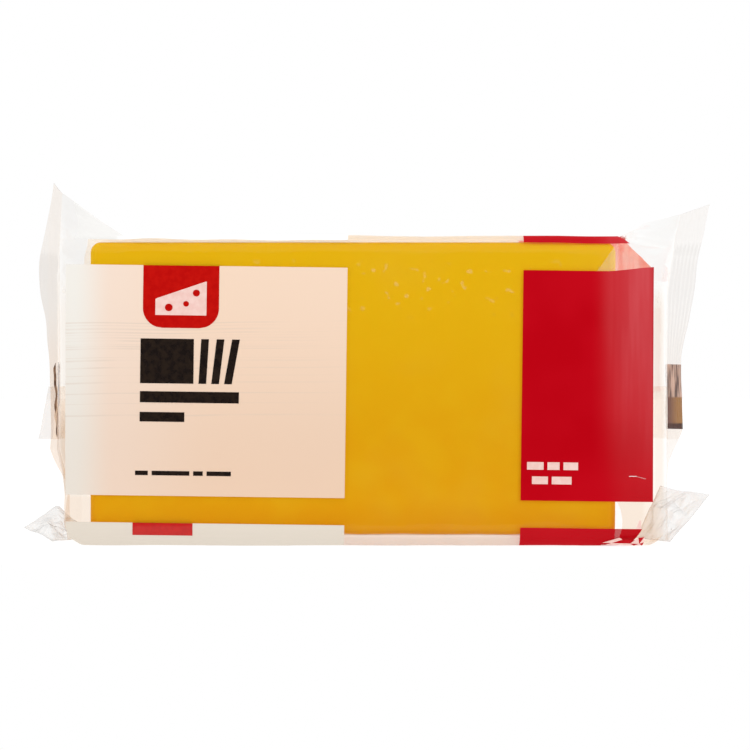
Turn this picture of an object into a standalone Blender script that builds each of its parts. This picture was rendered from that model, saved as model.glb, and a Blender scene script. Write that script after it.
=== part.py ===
"""Block of cheddar sealed in a clear film pack, standing on its long narrow side.

Metres, +Z up, front face towards -Y. The origin is on the table, under the middle of the cheese.
The film is a tube drawn round the block: each end is gathered to a flat crimped fin at half depth,
whose top corner stands up as an ear and whose bottom corner is folded forward on the table. The
tube's own lengthwise seal lies folded down on the back.
"""

import math

import bmesh
import bpy
from mathutils import Vector

# The cheese, and the film tube round it
CHEESE_LENGTH = 0.165
CHEESE_HEIGHT = 0.092
CHEESE_DEPTH = 0.055
FILM_ROOM_HIGH = 0.0025
FILM_ROOM_DEEP = 0.00025
EDGE_RADIUS = 0.0060
TUBE_HEIGHT = CHEESE_HEIGHT + 2 * FILM_ROOM_HIGH
HALF_DEPTH = CHEESE_DEPTH / 2 + FILM_ROOM_DEEP
MIDDLE_HEIGHT = TUBE_HEIGHT / 2

# Where the film leaves the block: past the ends of the cheese in front, earlier along the narrow sides
LEAVE_LEFT = -(CHEESE_LENGTH / 2 + 0.0075)
LEAVE_RIGHT = CHEESE_LENGTH / 2 + 0.0115
RIDGE_LEFT = -(CHEESE_LENGTH / 2 - 0.0097)
RIDGE_RIGHT = CHEESE_LENGTH / 2 + 0.0080
RIGHT_SHOULDER = 0.0075

# Towards its ends the film slopes in from the faces of the block, more so high up on the right
SLOPE_START = 0.0735
SLOPE_RIGHT = 0.19
SLOPE_LEFT = 0.10
SLOPE_LEAN = 0.4

# The crimped end fins
FIN_WIDTH = 0.0085
FIN_THICKNESS = 0.0010
FIN_WAVE = 0.0007
FIN_WAVE_LENGTH = 0.047
FIN_FOOT = 0.0006
LEFT_FIN_REACH = 0.0992
LEFT_FIN_SWING = 0.0018
LEFT_FIN_SWING_TOP = 0.086
LEFT_FIN_SWING_LENGTH = 0.066
LEFT_FIN_ROOT = -(CHEESE_LENGTH / 2 + 0.0120)
LEFT_TAPER_HEIGHT = 0.030
LEFT_TAPER_RUN = 0.0123
LEFT_FIN_TAPER = 0.40
LEFT_ROOT_TAPER = 0.26
RIGHT_FIN_REACH = 0.1056
RIGHT_FIN_SLOPE = 0.166
RIGHT_FIN_LEVEL = 0.060
RIGHT_TAPER_HEIGHT = 0.036
RIGHT_TAPER_RUN = 0.0105
RIGHT_FIN_TAPER = 0.40
RIGHT_FIN_ROOT = CHEESE_LENGTH / 2 + 0.0180

# The ears that stand above the block
LEFT_EAR_TOP = 0.1164
RIGHT_EAR_TOP = 0.1084
LEFT_EAR_LEAN = 0.0100
RIGHT_EAR_LEAN = -0.0110
LEFT_EAR_SHARE_AT_ROOT = 0.83
RIGHT_EAR_SHARE_AT_ROOT = 0.72
LEFT_EAR_FULLNESS = 1.0
RIGHT_EAR_FULLNESS = 0.28

# The lengthwise seal, folded flat on the back. Its left end is cut slanting.
BACK_SEAL_LOW = 0.0330
BACK_SEAL_HIGH = 0.0500
BACK_SEAL_THICKNESS = 0.0010
BACK_SEAL_STEP = 0.0003
BACK_SEAL_END_LOW = 0.0042
BACK_SEAL_END_HIGH = 0.0006

# The folded bottom corners of the fins: root low, root high, outer corner, low tip
RIGHT_FLAP = (
    (0.0850, -0.0060, 0.0018),
    (0.0945, -0.0002, 0.0185),
    (0.1135, -0.0100, 0.0156),
    (0.1000, -0.0200, 0.0010),
)
LEFT_FLAP = (
    (-0.0820, -0.0060, 0.0018),
    (-0.0955, -0.0015, 0.0112),
    (-0.1048, -0.0120, 0.0050),
    (-0.0950, -0.0190, 0.0010),
)
FLAP_THICKNESS = 0.0010
FLAP_BULGE = 0.0022
FLAP_CREASE = 0.0011

# Fineness of the mesh
FACE_STEPS = 12
ARC_STEPS = 5
NARROW_STEPS = 5
TUBE_STEPS = 12
END_STEPS = 3
GATHER_ANGLES = (0, 18, 36, 52, 66, 78, 90)
FLAP_STEPS = 7

CHEDDAR = (0.745, 0.405, 0.012, 1.0)


def clear_scene():
    for item in list(bpy.data.objects):
        bpy.data.objects.remove(item, do_unlink=True)


def make_material(name, colour, roughness):
    material = bpy.data.materials.new(name)
    material.use_nodes = True
    shader = material.node_tree.nodes["Principled BSDF"]
    shader.inputs["Base Color"].default_value = colour
    shader.inputs["Roughness"].default_value = roughness
    shader.inputs["Metallic"].default_value = 0.0
    return material


def half_outline():
    """Half of the tube's section, bottom middle to top middle, as (film distance, depth, height).

    The film distance is measured along the film from the middle of the front face, upward positive.
    """
    points = []
    flat = TUBE_HEIGHT / 2 - EDGE_RADIUS
    arc = EDGE_RADIUS * math.pi / 2
    narrow = HALF_DEPTH - EDGE_RADIUS
    heights = [EDGE_RADIUS + (TUBE_HEIGHT - 2 * EDGE_RADIUS) * i / FACE_STEPS for i in range(FACE_STEPS + 1)]
    for edge in (BACK_SEAL_LOW, BACK_SEAL_HIGH):
        heights += [edge - BACK_SEAL_STEP / 2, edge + BACK_SEAL_STEP / 2]
    heights.sort()
    upper = []
    for i in range(1, ARC_STEPS + 1):
        turn = math.pi / 2 * i / ARC_STEPS
        depth = narrow + EDGE_RADIUS * math.cos(turn)
        height = TUBE_HEIGHT - EDGE_RADIUS + EDGE_RADIUS * math.sin(turn)
        upper.append((flat + EDGE_RADIUS * turn, depth, height))
    for i in range(1, NARROW_STEPS + 1):
        run = narrow * i / NARROW_STEPS
        upper.append((flat + arc + run, narrow - run, TUBE_HEIGHT))
    points += [(-distance, depth, TUBE_HEIGHT - height) for distance, depth, height in reversed(upper)]
    points += [(height - MIDDLE_HEIGHT, HALF_DEPTH, height) for height in heights]
    points += upper
    return points


def film_half_length():
    return TUBE_HEIGHT / 2 - EDGE_RADIUS + EDGE_RADIUS * math.pi / 2 + HALF_DEPTH - EDGE_RADIUS


def past_corner(distance):
    """0 on the front face, rising to 1 at the middle of a narrow side."""
    flat = TUBE_HEIGHT / 2 - EDGE_RADIUS
    return max(0.0, (abs(distance) - flat) / (film_half_length() - flat))


def leave_x(distance, right):
    """How far along X the film stays on the block, at this distance round it."""
    share = past_corner(distance)
    if right:
        shoulder = RIGHT_SHOULDER * math.sin(math.pi * share ** 0.7)
        return LEAVE_RIGHT + (RIDGE_RIGHT - LEAVE_RIGHT) * share - (shoulder if distance > 0 else 0.0)
    return LEAVE_LEFT + (RIDGE_LEFT - LEAVE_LEFT) * share


def fin_height(distance, right, ear_share):
    """Height on the crimped fin of the film at this distance round the tube.

    The ear's upper edge rises towards the fin's cut edge, where ear_share is 1.
    """
    share = past_corner(distance)
    if not share:
        return MIDDLE_HEIGHT + distance
    if distance < 0:
        return EDGE_RADIUS + (FIN_FOOT - EDGE_RADIUS) * share
    rise = (RIGHT_EAR_TOP if right else LEFT_EAR_TOP) - TUBE_HEIGHT
    return TUBE_HEIGHT - EDGE_RADIUS + (EDGE_RADIUS + rise * ear_share) * share


def fin_taper(height, right):
    """How far down its lower, narrowing stretch this height on a fin is."""
    if right:
        return min(max(RIGHT_TAPER_HEIGHT - height, 0.0), RIGHT_TAPER_RUN)
    return min(max(LEFT_TAPER_HEIGHT - height, 0.0), LEFT_TAPER_RUN)


def fin_edge_x(height, right):
    """The fin's cut edge: slanted high up at the right end, wavy at the left one, narrowing low down."""
    taper = fin_taper(height, right)
    if right:
        slant = RIGHT_FIN_SLOPE * max(height - RIGHT_FIN_LEVEL, 0.0)
        return RIGHT_FIN_REACH + slant - RIGHT_FIN_TAPER * taper
    swing_from_top = min(LEFT_FIN_SWING_TOP - height, LEFT_FIN_SWING_LENGTH / 2)
    swing = LEFT_FIN_SWING * math.cos(2 * math.pi * swing_from_top / LEFT_FIN_SWING_LENGTH)
    return -(LEFT_FIN_REACH + swing) + LEFT_FIN_TAPER * taper


def fin_root_x(height, right):
    """Where the film becomes the flat fin."""
    edge = fin_edge_x(height, right)
    if right:
        return max(edge - FIN_WIDTH, RIGHT_FIN_ROOT)
    return min(edge + FIN_WIDTH, LEFT_FIN_ROOT + LEFT_ROOT_TAPER * fin_taper(height, right))


def fin_depth(distance, right, ear_share):
    """How far the fin's middle layer lies from the pack's middle plane."""
    lean = (RIGHT_EAR_LEAN if right else LEFT_EAR_LEAN) * ear_share
    share = past_corner(distance) if distance > 0 else 0.0
    wave = FIN_WAVE * math.sin(2 * math.pi * distance / FIN_WAVE_LENGTH)
    return wave + lean * share * share


def back_seal_raise(height, front):
    inside = BACK_SEAL_LOW < height < BACK_SEAL_HIGH
    return BACK_SEAL_THICKNESS if inside and not front else 0.0


def end_sink(x, distance):
    """How far the film has sunk in from the block's face, near an end of the tube."""
    right = x > 0
    past = abs(x) - SLOPE_START
    if past <= 0:
        return 0.0
    flat = TUBE_HEIGHT / 2 - EDGE_RADIUS
    lean = SLOPE_LEAN * min(max(distance / flat, -1.0), 1.0) if right else 0.0
    slope = (SLOPE_RIGHT if right else SLOPE_LEFT) * (1 + lean) * (1 - past_corner(distance))
    run = abs(LEAVE_RIGHT if right else LEAVE_LEFT) - SLOPE_START
    return slope * past * past / (2 * run)


def tube_point(x, sample, front):
    distance, depth, height = sample
    depth += back_seal_raise(height, front) - end_sink(x, distance)
    return Vector((x, -depth if front else depth, height))


def fin_point(sample, front, right, at_edge):
    """A point on the fin's root, or on its cut edge."""
    distance, depth, height = sample
    share_at_root = RIGHT_EAR_SHARE_AT_ROOT if right else LEFT_EAR_SHARE_AT_ROOT
    ear_share = 1.0 if at_edge else share_at_root
    half = FIN_THICKNESS / 2 if depth > 0 else 0.0
    half += back_seal_raise(height, front) / 2
    middle = fin_depth(distance, right, ear_share)
    level = fin_height(distance, right, ear_share)
    x = fin_edge_x(level, right) if at_edge else fin_root_x(level, right)
    if at_edge and not right and back_seal_raise(height, front):
        low_share = (BACK_SEAL_HIGH - height) / (BACK_SEAL_HIGH - BACK_SEAL_LOW)
        x -= BACK_SEAL_END_HIGH + (BACK_SEAL_END_LOW - BACK_SEAL_END_HIGH) * low_share
    return Vector((x, middle - half if front else middle + half, level))


def gather_row(outline, angle, front, right):
    """One row of points between the block and the fin, on a quarter turn that rounds the pack's end."""
    out = math.sin(math.radians(angle))
    inward = 1 - math.cos(math.radians(angle))
    upward = out ** (RIGHT_EAR_FULLNESS if right else LEFT_EAR_FULLNESS)
    row = []
    for sample in outline:
        start = tube_point(leave_x(sample[0], right), sample, front)
        end = fin_point(sample, front, right, False)
        row.append(Vector((
            start.x + (end.x - start.x) * out,
            start.y + (end.y - start.y) * inward,
            start.z + (end.z - start.z) * upward,
        )))
    return row


def tube_shares():
    """Places of the rows along the tube, closer together near its ends, where the film sinks in."""
    steps = [step / TUBE_STEPS for step in range(1, TUBE_STEPS)]
    close = [step / TUBE_STEPS / END_STEPS for step in range(1, END_STEPS)]
    return close + steps + [1 - share for share in reversed(close)]


def tube_row(outline, share, front):
    row = []
    for sample in outline:
        left = leave_x(sample[0], False)
        right = leave_x(sample[0], True)
        row.append(tube_point(left + (right - left) * share, sample, front))
    return row


def rows_of(outline, front):
    """All rows of one half of the film, from the left fin's cut edge to the right one's."""
    rows = [[fin_point(sample, front, False, True) for sample in outline]]
    rows += [gather_row(outline, angle, front, False) for angle in reversed(GATHER_ANGLES)]
    rows += [tube_row(outline, share, front) for share in tube_shares()]
    rows += [gather_row(outline, angle, front, True) for angle in GATHER_ANGLES]
    rows.append([fin_point(sample, front, True, True) for sample in outline])
    return rows


def make_pack_mesh():
    """The sealed pack as one closed body: front and back halves that share their top and bottom lines."""
    outline = half_outline()
    mesh = bmesh.new()
    last = len(outline) - 1
    fronts = [[mesh.verts.new(point) for point in row] for row in rows_of(outline, True)]
    backs = []
    for front_row, row in zip(fronts, rows_of(outline, False)):
        inner = [mesh.verts.new(point) for point in row[1:last]]
        backs.append([front_row[0]] + inner + [front_row[last]])
    for rows in (fronts, backs):
        for here, after in zip(rows, rows[1:]):
            for i in range(last):
                mesh.faces.new((here[i], after[i], after[i + 1], here[i + 1]))
    for front_row, back_row in ((fronts[0], backs[0]), (fronts[-1], backs[-1])):
        for i in range(last):
            corners = [front_row[i], front_row[i + 1], back_row[i + 1], back_row[i]]
            kept = [corner for place, corner in enumerate(corners) if corner not in corners[:place]]
            mesh.faces.new(kept)
    bmesh.ops.triangulate(mesh, faces=mesh.faces[:])
    bmesh.ops.recalc_face_normals(mesh, faces=mesh.faces[:])
    return mesh


def make_flap_mesh(corners):
    """A fin's bottom corner, folded forward: a thin plate bulged between four corners, with one crease."""
    low, high, outer, tip = (Vector(corner) for corner in corners)
    normal = (outer - low).cross(high - tip).normalized()
    mesh = bmesh.new()
    layers = []
    for side in (-1, 1):
        grid = []
        for i in range(FLAP_STEPS + 1):
            along = i / FLAP_STEPS
            line = []
            for j in range(FLAP_STEPS + 1):
                up = j / FLAP_STEPS
                place = low.lerp(tip, along).lerp(high.lerp(outer, along), up)
                bulge = FLAP_BULGE * math.sin(math.pi * along) * math.sin(math.pi * up)
                crease = FLAP_CREASE * math.sin(math.pi * along) * math.sin(3 * math.pi * up)
                offset = bulge + crease + side * FLAP_THICKNESS / 2
                line.append(mesh.verts.new(place + normal * offset))
            grid.append(line)
        layers.append(grid)
    for grid in layers:
        for i in range(FLAP_STEPS):
            for j in range(FLAP_STEPS):
                mesh.faces.new((grid[i][j], grid[i + 1][j], grid[i + 1][j + 1], grid[i][j + 1]))
    first, second = layers
    rim = [(i, 0) for i in range(FLAP_STEPS)]
    rim += [(FLAP_STEPS, j) for j in range(FLAP_STEPS)]
    rim += [(i, FLAP_STEPS) for i in range(FLAP_STEPS, 0, -1)]
    rim += [(0, j) for j in range(FLAP_STEPS, 0, -1)]
    for (i, j), (k, m) in zip(rim, rim[1:] + rim[:1]):
        mesh.faces.new((first[i][j], first[k][m], second[k][m], second[i][j]))
    bmesh.ops.triangulate(mesh, faces=mesh.faces[:])
    bmesh.ops.recalc_face_normals(mesh, faces=mesh.faces[:])
    return mesh


def make_object(name, built, material):
    data = bpy.data.meshes.new(name)
    built.to_mesh(data)
    built.free()
    data.materials.append(material)
    data.shade_smooth()
    data.set_sharp_from_angle(angle=math.radians(40))
    item = bpy.data.objects.new(name, data)
    bpy.context.scene.collection.objects.link(item)
    return item


def fuse(target, helper):
    """Joins a hidden helper solid to the pack."""
    helper.hide_render = True
    helper.display_type = "WIRE"
    union = target.modifiers.new("join_" + helper.name, "BOOLEAN")
    union.operation = "UNION"
    union.solver = "EXACT"
    union.object = helper


def main():
    clear_scene()
    film = make_material("cheddar_in_clear_film", CHEDDAR, 0.3)
    pack = make_object("cheddar_pack", make_pack_mesh(), film)
    fuse(pack, make_object("left_flap_helper", make_flap_mesh(LEFT_FLAP), film))
    fuse(pack, make_object("right_flap_helper", make_flap_mesh(RIGHT_FLAP), film))


main()
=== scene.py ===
"""Looks of the cheddar block in its clear printed film pack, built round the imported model.

Metres, +Z up, front face towards -Y, origin on the table under the middle of the cheese. The film
is one sheet, addressed by two distances measured on the flat film: along (the pack's length, from
its middle) and around (from the middle of the front face, upward positive, over the top to the back).
"""

import math

import bmesh
import bpy
import numpy as np
from mathutils import Matrix, Vector


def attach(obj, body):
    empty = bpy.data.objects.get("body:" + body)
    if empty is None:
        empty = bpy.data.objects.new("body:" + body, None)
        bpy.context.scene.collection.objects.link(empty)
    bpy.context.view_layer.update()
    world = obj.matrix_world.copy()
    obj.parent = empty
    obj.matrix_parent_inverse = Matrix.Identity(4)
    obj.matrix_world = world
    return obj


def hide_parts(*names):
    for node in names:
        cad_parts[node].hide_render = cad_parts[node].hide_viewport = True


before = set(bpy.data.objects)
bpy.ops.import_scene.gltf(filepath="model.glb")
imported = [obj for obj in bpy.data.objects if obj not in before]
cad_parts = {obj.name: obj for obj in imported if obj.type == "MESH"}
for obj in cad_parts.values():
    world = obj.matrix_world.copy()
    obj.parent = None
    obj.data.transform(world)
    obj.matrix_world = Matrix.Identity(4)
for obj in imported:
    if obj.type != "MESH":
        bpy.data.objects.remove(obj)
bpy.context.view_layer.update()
scene = bpy.context.scene

# The cheese
CHEESE_LENGTH = 0.165
CHEESE_HEIGHT = 0.092
CHEESE_DEPTH = 0.054
CHEESE_FLOOR = 0.0034
CHEESE_EDGE = 0.0032

# The film tube, as in the CAD solid
TUBE_HEIGHT = 0.097
HALF_DEPTH = 0.02775
EDGE_RADIUS = 0.006
MIDDLE_HEIGHT = TUBE_HEIGHT / 2
FLAT_HALF = TUBE_HEIGHT / 2 - EDGE_RADIUS
NARROW_HALF = HALF_DEPTH - EDGE_RADIUS
CORNER_ARC = EDGE_RADIUS * math.pi / 2
HALF_ROUND = FLAT_HALF + CORNER_ARC + NARROW_HALF
FULL_ROUND = 4 * HALF_ROUND

# Where the film leaves the block, and its end fins, as in the CAD solid. Pairs: left end, right end.
LEAVE = (-(CHEESE_LENGTH / 2 + 0.0075), CHEESE_LENGTH / 2 + 0.0115)
RIDGE = (-(CHEESE_LENGTH / 2 - 0.0097), CHEESE_LENGTH / 2 + 0.008)
RIGHT_SHOULDER = 0.0075
GATHER_RUN = 0.0275
FIN_WIDTH = 0.0085
FIN_HALF = 0.00025
FIN_WAVE = 0.0007
FIN_WAVE_LENGTH = 0.047
FIN_FOOT = 0.0006
FIN_REACH = (0.0992, 0.1056)
FIN_ROOT = (-(CHEESE_LENGTH / 2 + 0.012), CHEESE_LENGTH / 2 + 0.018)
FIN_TAPER = 0.4
TAPER_HEIGHT = (0.03, 0.036)
TAPER_RUN = (0.0123, 0.0105)
LEFT_ROOT_TAPER = 0.26
LEFT_SWING = 0.0018
LEFT_SWING_TOP = 0.086
LEFT_SWING_LENGTH = 0.066
RIGHT_SLOPE = 0.166
RIGHT_LEVEL = 0.06
EAR_TOP = (0.1164, 0.1084)
EAR_LEAN = (0.01, -0.011)
EAR_SHARE_AT_ROOT = (0.83, 0.72)
EAR_FULLNESS = (1.0, 0.28)
CUT_WAVE = 0.0006

# How far the film's ripples, pleats and crimps stand out, and how it bulges along its top
RIPPLE = 0.00007
EDGE_RIPPLE = 0.0003
PLEAT = 0.0005
FINE_PLEAT = 0.00028
TOP_CROWN = 0.0005
CRIMP_PITCH = 0.0012
CRIMP_DEPTH = 0.00002

# Towards its ends the film slopes in from the faces of the block, more so high up on the right
SLOPE_START = 0.0735
SLOPE_RIGHT = 0.19
SLOPE_LEFT = 0.1
SLOPE_LEAN = 0.4

# The lengthwise seal on the back
SEAL_LOW = 0.033
SEAL_HIGH = 0.05
SEAL_WIDTH = SEAL_HIGH - SEAL_LOW
SEAL_ROUND = HALF_ROUND * 2 - (SEAL_HIGH - MIDDLE_HEIGHT)
SEAL_END_LOW = 0.0042
SEAL_END_HIGH = 0.0006
SEAL_TAIL_START = 0.125
SEAL_TAIL_RUN = 0.01
SEAL_GREY_END = -0.1275
SEAL_GAP = 0.00025
SEAL_LIFT = 0.0009
SEAL_ROWS = 21
SEAL_STEPS = (0.001, 0.002, 0.001)

# The folded bottom corners of the fins: root low, root high, outer corner, low tip
RIGHT_FLAP = (
    (0.0902, -0.0085, 0.0018),
    (0.0984, -0.003, 0.0182),
    (0.1135, -0.01, 0.0156),
    (0.1, -0.02, 0.001),
)
LEFT_FLAP = (
    (-0.082, -0.006, 0.0018),
    (-0.0955, -0.0015, 0.0112),
    (-0.1048, -0.012, 0.005),
    (-0.095, -0.019, 0.001),
)
FLAP_BULGE = 0.0022
FLAP_HALF = 0.0005
FLAP_CREASE = 0.0017
FLAP_OWN_CREASE = 0.0007
FLAP_GRAIN = 0.00022
FLAP_POINTS = 71

# The print is turned a little on the film, except at its ends. Its panels repeat round the tube. On the
# right their top corner rises a little.
PRINT_TURN = 0.0131
TURN_FADE_START = 0.096
TURN_FADE_END = 0.11
PRINT_END = 0.135
CORNER_RISE = 0.0016
CORNER_RISE_START = 0.078
CORNER_RISE_END = 0.096
CORNER_RISE_SPREAD = 0.006
WHITE_LEFT = -0.0905
WHITE_RIGHT = -0.0022
RED_LEFT = 0.0529
RED_RIGHT = 0.0946
PANEL_LOW = -0.0334
PANEL_HIGH = 0.03876
UNDER_PANEL_HIGH = -0.0419
UNDER_PANEL_BACK = 0.0422
TOP_PANEL_LOW = 0.0477
BACK_EDGE_NEAR = 0.0264
BACK_EDGE_FAR = 0.0354
BACK_LOW_EDGE = 0.0332
BACK_RED_RIGHT = 0.094
UNDER_RED_RIGHT = 0.087
TOP_RED_RIGHT = 0.0828

# How finely the film is cut: at its ends, on the slopes, beside the panels and in the middle
FIN_START = 0.1255
MIDDLE_LEFT = -0.066
MIDDLE_RIGHT = 0.072
FIN_STEP = 0.00032
SLOPE_STEP = 0.0006
SIDE_STEP = 0.0008
MIDDLE_STEP = 0.0016
ROUND_STEP = 0.0011

# The film's material slots
CLEAR_SLOT, WHITE_SLOT, RED_SLOT, SEALED_SLOT, MARK_SLOT = range(5)

# Each band round the film that carries panels: its low and high edge and where its red panel ends
PANEL_BANDS = (
    (-SEAL_ROUND, BACK_LOW_EDGE - 2 * HALF_ROUND, BACK_RED_RIGHT),
    (UNDER_PANEL_BACK - 2 * HALF_ROUND, UNDER_PANEL_HIGH, UNDER_RED_RIGHT),
    (PANEL_LOW, PANEL_HIGH, RED_RIGHT),
    (TOP_PANEL_LOW, 2 * HALF_ROUND - BACK_EDGE_FAR, TOP_RED_RIGHT),
    (2 * HALF_ROUND - BACK_EDGE_NEAR, FULL_ROUND - SEAL_ROUND, BACK_RED_RIGHT),
)

# On the right the top red panel runs on behind, up to a slanted line, given in X and Z
SHOULDER_LOW = 0.08
SHOULDER_HIGH = 0.1119
SHOULDER_SEARCH_END = 0.118
SHOULDER_LINE_X = (0.0857, 0.089, 0.0949, 0.0976, 0.098)
SHOULDER_LINE_Z = (0.099, 0.0972, 0.0921, 0.0893, 0.0835)

# Above the front panel the red runs out in a point, and below it on a slant with a sliver
POINT_WIDTH = 0.0034
POINT_HEIGHT = 0.0036
SLANT_LOW = -0.049
SLANT_HEIGHT = 0.0071
SLANT_WIDTH = 0.0042
SLIVER_LEFT = 0.0893
SLIVER_RIGHT = 0.0909
SLIVER_HIGH = -0.0392

# Light caught by the film at the cheese's right end
GLINT_X = 0.0826
CRESCENT_X = 0.0828
CRESCENT_WIDTH = 0.0021
CRESCENT_HEIGHT = 0.013
CORNER_X = 0.0822
CORNER_WIDTH = 0.0062
SCRATCH_LEFT = 0.0888
SCRATCH_RIGHT = 0.0891
SCRATCH_LOW = -0.0262
SCRATCH_HIGH = -0.0254
SCRATCH_TAIL = (-0.0255, -0.0253, 0.0868, 0.0892)
GLINT_LIFT = 0.00012
FINE_PRINT_STEP = 0.0002

# At the lower left corner the white ink runs on to this X, below this height
FOOT_LEFT = -0.0899
FOOT_HIGH = 0.0078

# The generic print: how far each layer lies off the film, then its shapes, as left, right, low and high
PRINT_LIFT = 0.00006
SECOND_LIFT = 0.00011
THIRD_LIFT = 0.00016
PRINT_CELL = 0.0012
TAB = (-0.0661, -0.0423, 0.0192, PANEL_HIGH)
TAB_CORNER = 0.0062
UNDER_TAB = (-0.0685, -0.0497, UNDER_PANEL_HIGH - 0.004, UNDER_PANEL_HIGH)
WEDGE_LEFT = -0.0622
WEDGE_RIGHT = -0.0462
WEDGE_LOW = 0.0232
WEDGE_SIDE = 0.0283
WEDGE_HIGH = 0.0338
WEDGE_TIP = 0.0004
WEDGE_HOLES = ((-0.058, 0.0256, 0.0012), (-0.0526, 0.0268, 0.0009), (-0.0494, 0.0302, 0.0011))
DARK_LEFT = -0.0667
SLICED_RIGHT = -0.05
SLICED_LEVELS = (0.0018, 0.0158)
SLICE_GAP = 0.0016
SLICE_PITCH = 0.004
SLICE_WIDTH = 0.0024
LONG_BAR = (DARK_LEFT, -0.0357, -0.0042, -0.0007)
SHORT_BAR = (DARK_LEFT, -0.0527, -0.0102, -0.0072)

# Rows of dashes: left end, middle, thickness and lengths
NOTE_ROW = (-0.0679, -0.0263, 0.0014, (0.004, 0.0118, 0.003, 0.0076))
HIGH_WEIGHT_ROW = (0.0548, -0.0225, 0.0024, (0.0052, 0.0038, 0.0046))
LOW_WEIGHT_ROW = (0.0564, -0.027, 0.0024, (0.005, 0.0062))
DASH_GAP = 0.0012

# Heights of the wood-grain lines on the white panel
GRAIN_HEIGHTS = (0.07, 0.0691, 0.068, 0.0669, 0.0661, 0.0652, 0.0643, 0.0631, 0.0625, 0.0618, 0.059,
                 0.0581, 0.0558, 0.0534, 0.0512, 0.0478, 0.0446, 0.0409)
GRAIN_WIDTH = 0.0003
GRAIN_WIDTH_SHARES = (1.0, 0.7, 1.3)
GRAIN_STRENGTHS = (0.46, 0.26, 0.34)

# The crumpled scrap at the lower right corner: points in millimetres, facets with 1 for the pale side,
# and a pale line on the film above it
FOLD_POINTS = (
    (78.2, -26.2, 1.1), (83.6, -26.8, 2.7), (84.4, -27.2, 2.1), (81.0, -26.6, 1.0), (88.6, -27.0, 1.9),
    (86.8, -27.4, 0.9), (88.0, -26.4, 0.2), (84.2, -26.8, 0.3), (89.4, -27.4, 2.7), (91.4, -26.4, 2.9),
    (89.6, -27.6, 0.8), (91.2, -26.8, 1.3), (79.2, -26.3, 0.5), (90.6, -26.8, 0.25),
)
FOLD_FACETS = (
    ((0, 3, 2, 1), 1), ((3, 5, 2), 0), ((2, 5, 4), 0), ((12, 7, 3), 1), ((3, 7, 5), 1), ((7, 6, 5), 1),
    ((5, 10, 8), 1), ((4, 5, 8), 0), ((8, 10, 9), 0), ((9, 10, 11), 1), ((5, 6, 10), 0), ((6, 13, 10), 1),
    ((10, 13, 11), 0),
)
FOLD_LINE = (0.0785, 0.088, -0.0488, -0.0484)

# The brown mark printed on the end seals
MARK_LOW = 0.0366
MARK_HIGH = 0.0569
MARK_FROM_SHARE = 0.08

# Wrinkled strips at the left fin: name, place, seed, swing and half width in shares, low and high, lift
FIN_MARKS = (
    ("mark_wide", 0.22, 0.4, 0.08, 0.26, 0.033, 0.0465, 0.0001),
    ("mark_outer", 0.43, 1.1, 0.08, 0.12, 0.0415, 0.0575, 0.00018),
    ("mark_inner", -2.1, 2.3, 0.04, 0.19, 0.0435, 0.0578, 0.00025),
    ("mark_tail", 0.24, 3.0, 0.08, 0.07, 0.0335, 0.043, 0.00018),
)

# The studio: directions are from the pack
DARK_SIDE = (-0.21, -0.98, 0.0)
SOFT_BOX = (0.64, -0.76, 0.06)
SURROUND_LIGHT = 1.24
SOFT_BOX_LIGHT = 0.45
FLOOR_LEVEL = -0.0002
FLOOR_FRONT = -0.12
FLOOR_REACH = 6.0

# The camera of the photograph: level, in front of the pack
CAMERA_PLACE = (0.0069, -HALF_DEPTH - 1.0, 0.0537)
CAMERA_LENS = 153.3
SENSOR_WIDTH = 36.0

WHITE = (1.0, 1.0, 1.0)


def smooth_step(value, low=0, high=1):
    share = np.clip((value - low) / (high - low), 0, 1)
    return share * share * (3 - 2 * share)


def limited(value):
    return min(1.0, max(0.0, value))


def value_noise(x, y, seed):
    """Smooth noise from -1 to 1 over a plane, with a cell of 1 unit."""
    table = np.random.default_rng(seed).uniform(-1.0, 1.0, (256, 256))
    cell_x = np.floor(x)
    cell_y = np.floor(y)
    part_x = smooth_step(x - cell_x)
    part_y = smooth_step(y - cell_y)
    i = cell_x.astype(int) % 256
    j = cell_y.astype(int) % 256
    low = table[i, j] * (1 - part_x) + table[(i + 1) % 256, j] * part_x
    high = table[i, (j + 1) % 256] * (1 - part_x) + table[(i + 1) % 256, (j + 1) % 256] * part_x
    return low * (1 - part_y) + high * part_y


def folded_noise(x, y, seed):
    """Noise with sharp ridges, as in creased film, from -1 to 1."""
    return 1 - 2 * np.abs(value_noise(x, y, seed)) ** 0.8


def creases(x, y, count, size, seed):
    """Straight sharp folds scattered over a plane, from about -1 to 1."""
    draw = np.random.default_rng(seed)
    total = np.zeros_like(x)
    for _ in range(count):
        centre_x = draw.uniform(x.min(), x.max())
        centre_y = draw.uniform(y.min(), y.max())
        turn = draw.uniform(0.0, math.pi)
        across = (x - centre_x) * math.cos(turn) + (y - centre_y) * math.sin(turn)
        lengthwise = (y - centre_y) * math.cos(turn) - (x - centre_x) * math.sin(turn)
        ridge = np.exp(-np.abs(across) / (0.35 * size)) * np.exp(-((lengthwise / size) ** 2))
        total += draw.choice((-1.0, 1.0)) * draw.uniform(0.4, 1.0) * ridge
    return total


def face_distance(around):
    """A place round the film as a distance from the middle of its face, and whether that is the back."""
    wrapped = (around + 2 * HALF_ROUND) % FULL_ROUND - 2 * HALF_ROUND
    back = np.abs(wrapped) > HALF_ROUND
    return np.where(back, np.sign(wrapped) * 2 * HALF_ROUND - wrapped, wrapped), back


def past_corner(distance):
    """0 on the faces, rising to 1 at the middle of a narrow side."""
    return np.maximum(0, (np.abs(distance) - FLAT_HALF) / (HALF_ROUND - FLAT_HALF))


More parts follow.
